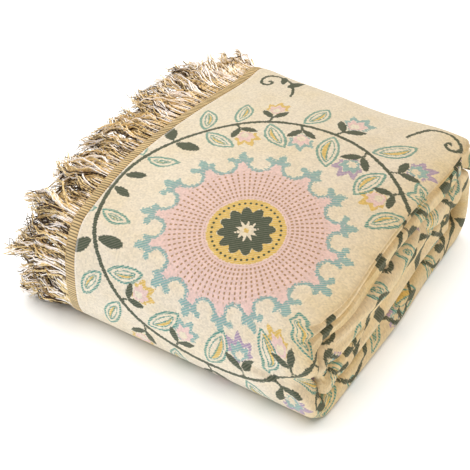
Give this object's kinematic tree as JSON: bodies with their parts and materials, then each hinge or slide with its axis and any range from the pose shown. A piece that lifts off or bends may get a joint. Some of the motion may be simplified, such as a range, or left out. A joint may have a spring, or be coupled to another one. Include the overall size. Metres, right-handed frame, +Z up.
{
  "type": "folded cotton throw blanket",
  "caption": "Woven cotton throw with a fringed hem, folded into a thick soft pack with a domed top, a rounded front and stacked rolls along one side.",
  "frame": {"origin": "middle of the folded pack's box, on the surface that it lies on", "axes": "+X from the fringed hem to the stacked rolls, +Y from the rounded front to the back, +Z up"},
  "size_m": [0.3376, 0.3594, 0.1471],
  "materials": {
    "woven_cotton": "matt cream jacquard weave with coloured motifs",
    "cotton_fringe": "matt loose cotton yarns in ochre, cream and brown"
  },
  "bodies": {
    "root": {"blanket": "woven_cotton", "fringe": "cotton_fringe"}
  },
  "joints": []
}
